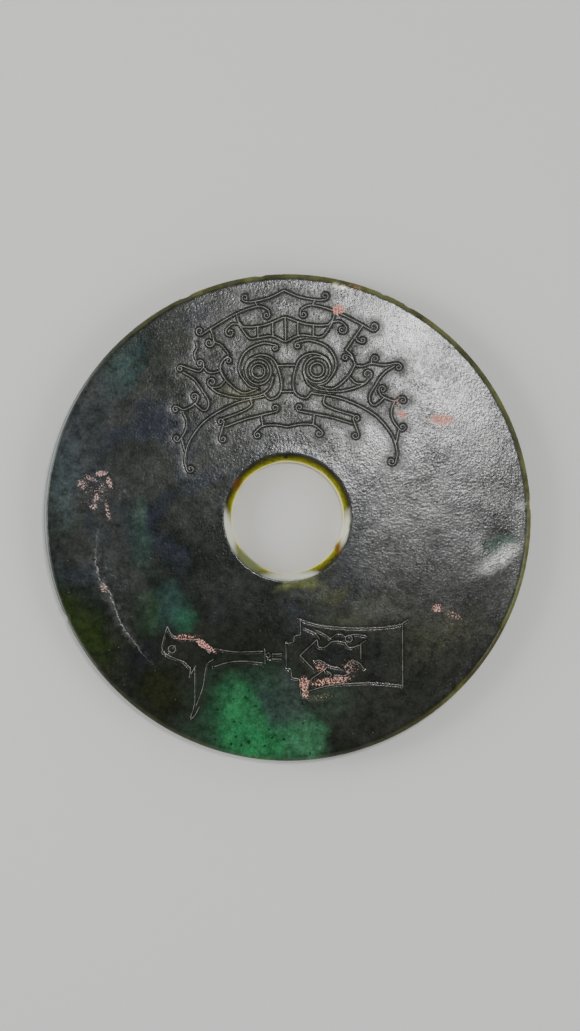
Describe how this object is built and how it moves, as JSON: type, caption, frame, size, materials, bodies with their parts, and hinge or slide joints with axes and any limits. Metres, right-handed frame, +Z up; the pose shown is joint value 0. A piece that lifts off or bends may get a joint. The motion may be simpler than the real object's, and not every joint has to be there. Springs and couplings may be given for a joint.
{
  "type": "jade bi disc",
  "caption": "Flat round disc of mottled green jade with a conical central hole, a carved beast mask and carved axe motifs on one face.",
  "frame": {"origin": "middle of the plain back, on which the disc lies", "axes": "+Z up through the hole and out of the carved face, +Y towards the top of the carved mask, +X to the right when looking down on the carved face"},
  "size_m": [0.2, 0.2, 0.012],
  "materials": {
    "jade": "softly polished, weathered nephrite: dark green-grey with bright green, olive and silvery patches, pale veins and traces of cinnabar"
  },
  "bodies": {
    "root": {"jade_disc": "jade"}
  },
  "joints": []
}
